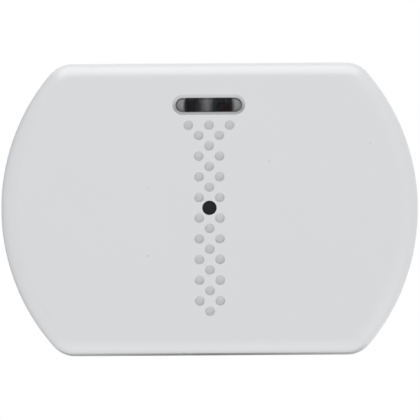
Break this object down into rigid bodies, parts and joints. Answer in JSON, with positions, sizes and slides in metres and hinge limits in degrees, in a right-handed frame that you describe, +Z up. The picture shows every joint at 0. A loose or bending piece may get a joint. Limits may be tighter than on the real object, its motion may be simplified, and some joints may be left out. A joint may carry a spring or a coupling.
{
  "type": "glass break sensor",
  "caption": "Wall sensor in a white case with round sides, smoked light window, column of small dimples and a sound port; the cover swings up off a back plate with board and cells.",
  "frame": {"origin": "centre of the wall face of the back plate, which is the face that lies on the wall", "axes": "+Z up the wall, +X to the right seen from the front, +Y into the wall; the front faces -Y"},
  "size_m": [0.108, 0.028, 0.0754],
  "materials": {
    "case_white": "satin moulded white, very light grey",
    "case_white_back": "satin moulded white",
    "smoked_lens": "smoked grey clear plastic, polished",
    "mesh_black": "black acoustic cloth",
    "board_green": "green solder mask over glass laminate",
    "board_dark": "dark blue solder mask",
    "zinc_steel": "zinc plated",
    "black_rubber": "soft moulded rubber",
    "capsule_metal": "drawn can",
    "baffle_grey": "moulded light grey",
    "green_lamp": "tinted epoxy lens, unlit",
    "red_lamp": "tinted epoxy lens, unlit",
    "chip_black": "moulded epoxy",
    "tinned_steel": "tinned sheet",
    "copper_wire": "enamelled copper",
    "crystal_can": "drawn can",
    "capacitor_can": "bare can on a black foot",
    "resistor_black": "black top, tinned ends",
    "capacitor_tan": "tan body, tinned ends",
    "header_black": "moulded",
    "gold_pin": "thin gold plating",
    "switch_black": "moulded",
    "plunger_white": "moulded acetal",
    "button_red": "moulded",
    "dip_blue": "moulded",
    "slider_white": "moulded acetal",
    "holder_black": "fine moulded grain",
    "cell_wrap": "plain shrink sleeve over a steel can",
    "contact_nickel": "nickel plated spring strip"
  },
  "bodies": {
    "base": {"back_plate": "case_white_back", "circuit_board": "board_green", "board_screws": "zinc_steel", "mic_boot": "black_rubber", "mic_capsule": "capsule_metal", "led_baffle": "baffle_grey", "green_led": "green_lamp", "red_led": "red_lamp", "main_chip": "chip_black", "amplifier_chip": "chip_black", "radio_board": "board_dark", "radio_shield": "tinned_steel", "antenna": "copper_wire", "crystal": "crystal_can", "electrolytic_capacitors": "capacitor_can", "chip_resistors": "resistor_black", "chip_capacitors": "capacitor_tan", "header_body": "header_black", "header_pins": "gold_pin", "tamper_switch_body": "switch_black", "learn_button_body": "switch_black", "dip_switch_body": "dip_blue", "cell_holder": "holder_black", "cell_left": "cell_wrap", "cell_right": "cell_wrap", "contact_left": "contact_nickel", "contact_right": "contact_nickel", "contact_link": "contact_nickel"},
    "cover": {"front_cover": "case_white", "led_window": "smoked_lens", "port_mesh": "mesh_black"},
    "plunger": {"tamper_plunger": "plunger_white"},
    "learn_button": {"learn_button_cap": "button_red"},
    "slider_1": {"dip_slider_1": "slider_white"},
    "slider_2": {"dip_slider_2": "slider_white"},
    "slider_3": {"dip_slider_3": "slider_white"},
    "slider_4": {"dip_slider_4": "slider_white"}
  },
  "joints": [
    {"name": "cover_swing", "type": "hinge", "parent": "base", "child": "cover", "pos_m": [0, -0.008, 0.03765], "axis": [-1, 0, 0], "range_deg": [0, 45]},
    {"name": "tamper_slide", "type": "slide", "parent": "base", "child": "plunger", "axis": [0, -1, 0], "range_m": [0, 0.0012]},
    {"name": "learn_press", "type": "slide", "parent": "base", "child": "learn_button", "axis": [0, 1, 0], "range_m": [0, 0.0003], "stiffness_N_per_m": 500},
    {"name": "dip_slide_1", "type": "slide", "parent": "base", "child": "slider_1", "axis": [1, 0, 0], "range_m": [0, 0.0022]},
    {"name": "dip_slide_2", "type": "slide", "parent": "base", "child": "slider_2", "axis": [1, 0, 0], "range_m": [0, 0.0022]},
    {"name": "dip_slide_3", "type": "slide", "parent": "base", "child": "slider_3", "axis": [1, 0, 0], "range_m": [0, 0.0022]},
    {"name": "dip_slide_4", "type": "slide", "parent": "base", "child": "slider_4", "axis": [1, 0, 0], "range_m": [0, 0.0022]}
  ],
  "couplings": [
    {"joint": "tamper_slide", "follows": "cover_swing", "m_per_rad": 0.001527}
  ]
}
